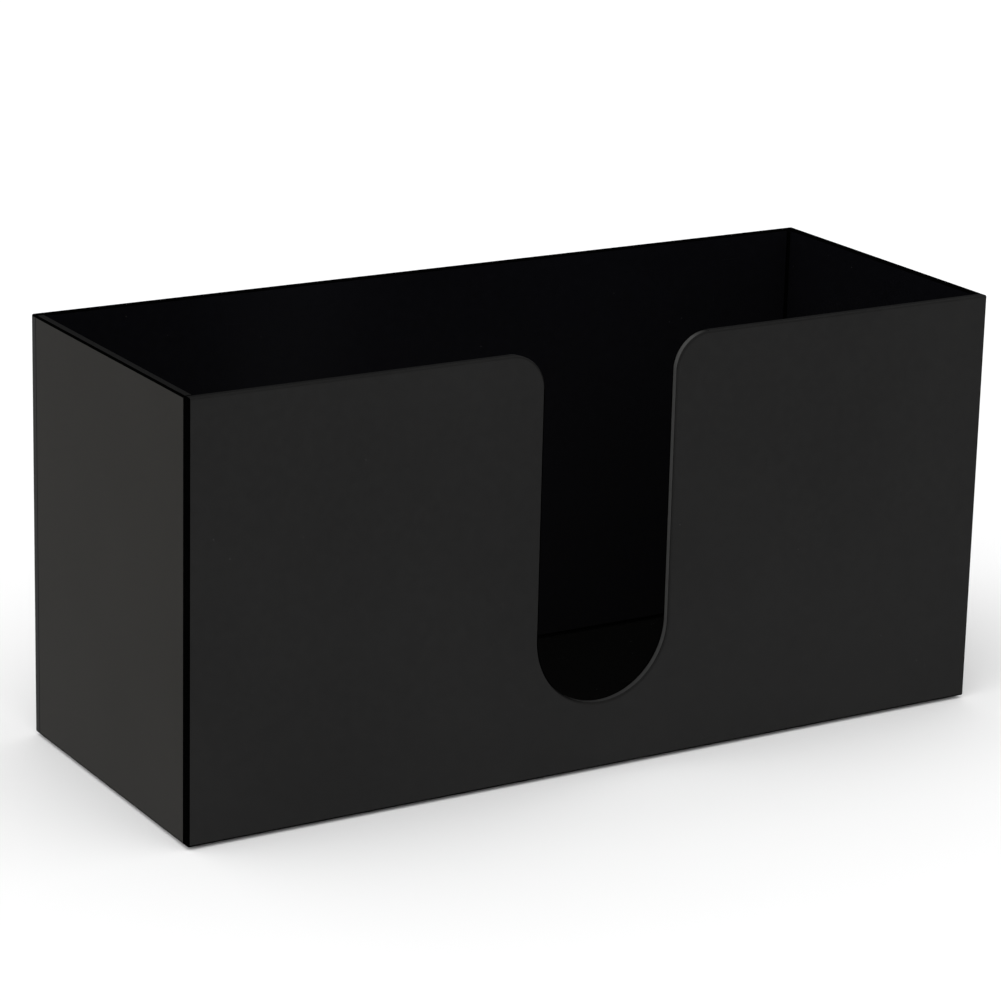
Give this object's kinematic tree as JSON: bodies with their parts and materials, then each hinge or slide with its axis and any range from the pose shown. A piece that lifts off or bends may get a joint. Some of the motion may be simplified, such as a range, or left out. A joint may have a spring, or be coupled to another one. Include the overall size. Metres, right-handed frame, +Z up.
{
  "type": "napkin dispenser",
  "caption": "Open-topped box of cemented black acrylic sheet for folded napkins, with a round-bottomed finger slot in its front, on low bumper feet.",
  "frame": {"origin": "under the middle of the box, on the surface that its feet stand on", "axes": "+X along the box to the right, -Y towards the front with the slot, +Z up"},
  "size_m": [0.28, 0.107, 0.135],
  "materials": {
    "acrylic": "glossy black cast acrylic sheet with polished edges",
    "silicone": "cloudy soft silicone"
  },
  "bodies": {
    "root": {"front_panel": "acrylic", "back_panel": "acrylic", "left_side_panel": "acrylic", "right_side_panel": "acrylic", "bottom_panel": "acrylic", "foot_front_left": "silicone", "foot_front_right": "silicone", "foot_back_left": "silicone", "foot_back_right": "silicone"}
  },
  "joints": []
}
